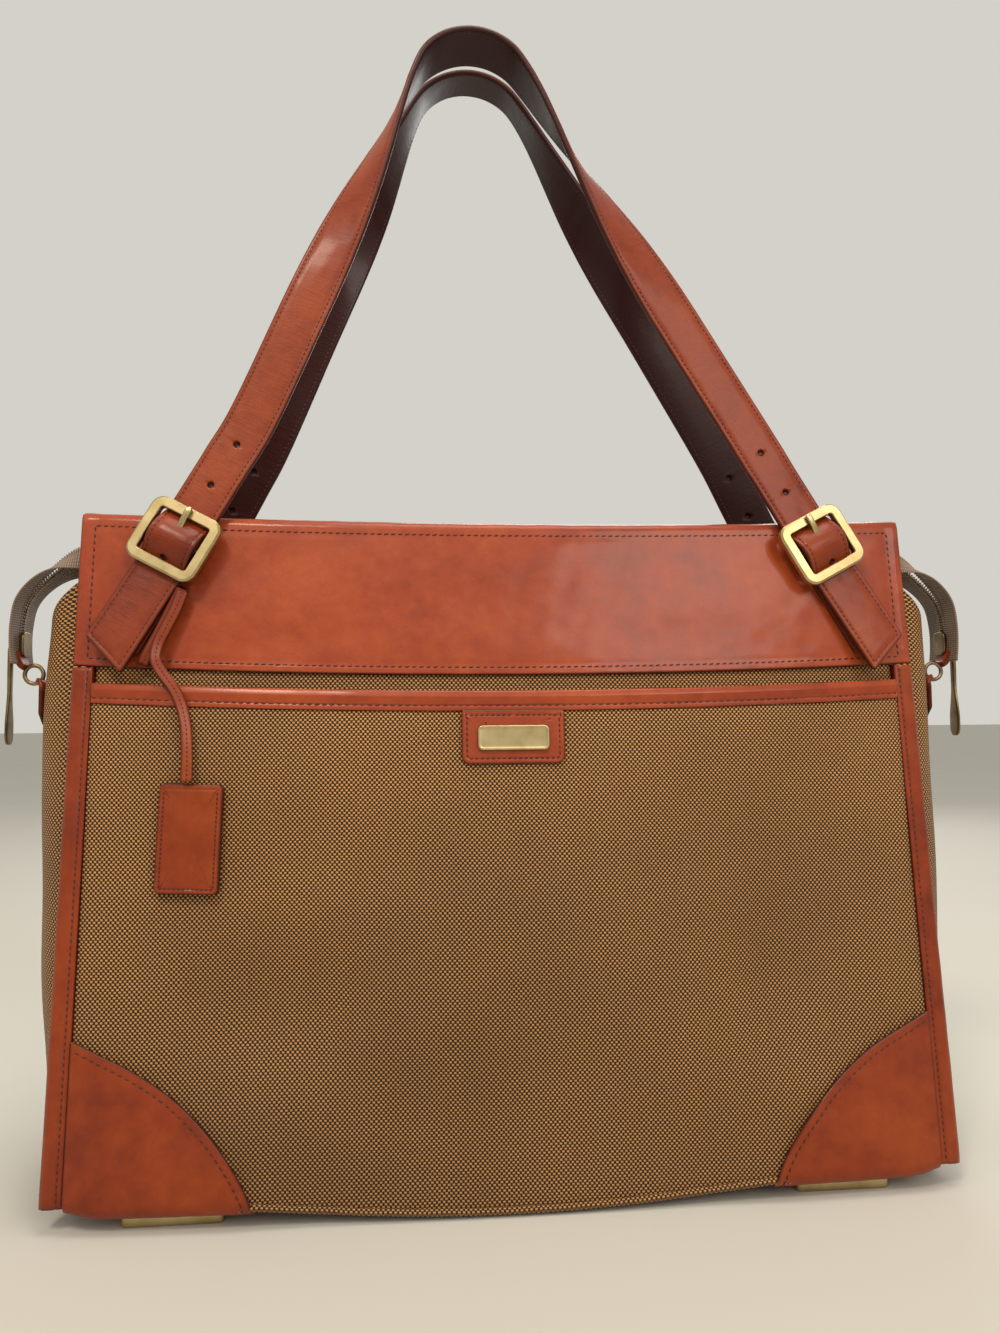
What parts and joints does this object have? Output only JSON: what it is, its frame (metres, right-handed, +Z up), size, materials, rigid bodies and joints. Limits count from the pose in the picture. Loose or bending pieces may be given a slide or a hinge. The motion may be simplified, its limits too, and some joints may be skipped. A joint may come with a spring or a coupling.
{
  "type": "soft-sided tote bag",
  "caption": "Soft-sided woven tote with leather trim, two folding strap handles on square buckles, an open zip mouth, a front slip pocket, a luggage tag and flat feet.",
  "frame": {"origin": "on the floor under the middle of the bag, at the undersides of its feet", "axes": "+X along the bag to the right seen from the front, +Y towards the back, +Z up; the front faces -Y"},
  "size_m": [0.5144, 0.1384, 0.597],
  "materials": {
    "woven_nylon": "heavy basket-weave nylon in two tones of khaki gold and brown",
    "cognac_leather": "glazed cognac leather with dark red stitching and painted edges",
    "satin_brass": "satin pale brass",
    "antique_bronze": "darkened bronze plating",
    "zip_tape": "ribbed taupe woven tape with moulded teeth",
    "lining_cloth": "dark twill lining",
    "base_board": "matt stiffening board"
  },
  "bodies": {
    "root": {"front_panel": "woven_nylon", "back_panel": "woven_nylon", "front_pocket": "woven_nylon", "left_gusset": "woven_nylon", "right_gusset": "woven_nylon", "bottom_panel": "woven_nylon", "front_top_band": "cognac_leather", "back_top_band": "cognac_leather", "pocket_binding": "cognac_leather", "badge_patch": "cognac_leather", "left_side_tab": "cognac_leather", "right_side_tab": "cognac_leather", "front_left_binding": "cognac_leather", "front_left_corner": "cognac_leather", "front_left_chape": "cognac_leather", "front_left_strap_end": "cognac_leather", "front_right_binding": "cognac_leather", "front_right_corner": "cognac_leather", "front_right_chape": "cognac_leather", "front_right_strap_end": "cognac_leather", "back_left_binding": "cognac_leather", "back_left_corner": "cognac_leather", "back_left_chape": "cognac_leather", "back_left_strap_end": "cognac_leather", "back_right_binding": "cognac_leather", "back_right_corner": "cognac_leather", "back_right_chape": "cognac_leather", "back_right_strap_end": "cognac_leather", "badge_plate": "satin_brass", "front_left_foot": "satin_brass", "front_left_buckle": "satin_brass", "front_right_foot": "satin_brass", "front_right_buckle": "satin_brass", "back_left_foot": "satin_brass", "back_left_buckle": "satin_brass", "back_right_foot": "satin_brass", "back_right_buckle": "satin_brass", "left_zip_slider": "antique_bronze", "left_zip_ring": "antique_bronze", "right_zip_slider": "antique_bronze", "right_zip_ring": "antique_bronze", "front_zip_tape": "zip_tape", "back_zip_tape": "zip_tape", "lining": "lining_cloth", "base_board": "base_board"},
    "front_handle": {"front_handle": "cognac_leather"},
    "back_handle": {"back_handle": "cognac_leather"},
    "tag": {"luggage_tag": "cognac_leather", "tag_lace": "cognac_leather"},
    "left_pull": {"left_zip_pull": "antique_bronze"},
    "right_pull": {"right_zip_pull": "antique_bronze"},
    "front_left_tongue": {"front_left_tongue": "satin_brass"},
    "front_right_tongue": {"front_right_tongue": "satin_brass"},
    "back_left_tongue": {"back_left_tongue": "satin_brass"},
    "back_right_tongue": {"back_right_tongue": "satin_brass"}
  },
  "joints": [
    {"name": "front_handle_fold", "type": "hinge", "parent": "root", "child": "front_handle", "pos_m": [0, -0.0312, 0.343], "axis": [1, 0, 0], "range_deg": [0, 150]},
    {"name": "back_handle_fold", "type": "hinge", "parent": "root", "child": "back_handle", "pos_m": [0, 0.0324, 0.343], "axis": [-1, 0, 0], "range_deg": [0, 150]},
    {"name": "tag_swing", "type": "hinge", "parent": "root", "child": "tag", "pos_m": [-0.1605, -0.0378, 0.291], "axis": [-1, 0, 0], "range_deg": [0, 60]},
    {"name": "left_pull_swing", "type": "hinge", "parent": "root", "child": "left_pull", "pos_m": [-0.2561, 0, 0.265], "axis": [0, 1, 0], "range_deg": [-5, 100]},
    {"name": "right_pull_swing", "type": "hinge", "parent": "root", "child": "right_pull", "pos_m": [0.2561, 0, 0.265], "axis": [0, -1, 0], "range_deg": [-5, 100]},
    {"name": "front_left_tongue_lift", "type": "hinge", "parent": "root", "child": "front_left_tongue", "pos_m": [-0.16527, -0.03289, 0.3168], "axis": [0.877, -0.1106, -0.4676], "range_deg": [0, 8]},
    {"name": "front_right_tongue_lift", "type": "hinge", "parent": "root", "child": "front_right_tongue", "pos_m": [0.16527, -0.03289, 0.3168], "axis": [0.877, 0.1106, 0.4676], "range_deg": [0, 8]},
    {"name": "back_left_tongue_lift", "type": "hinge", "parent": "root", "child": "back_left_tongue", "pos_m": [-0.16537, 0.03386, 0.3168], "axis": [-0.8759, -0.1254, 0.4659], "range_deg": [0, 8]},
    {"name": "back_right_tongue_lift", "type": "hinge", "parent": "root", "child": "back_right_tongue", "pos_m": [0.16537, 0.03386, 0.3168], "axis": [-0.8759, 0.1254, -0.4659], "range_deg": [0, 8]}
  ]
}
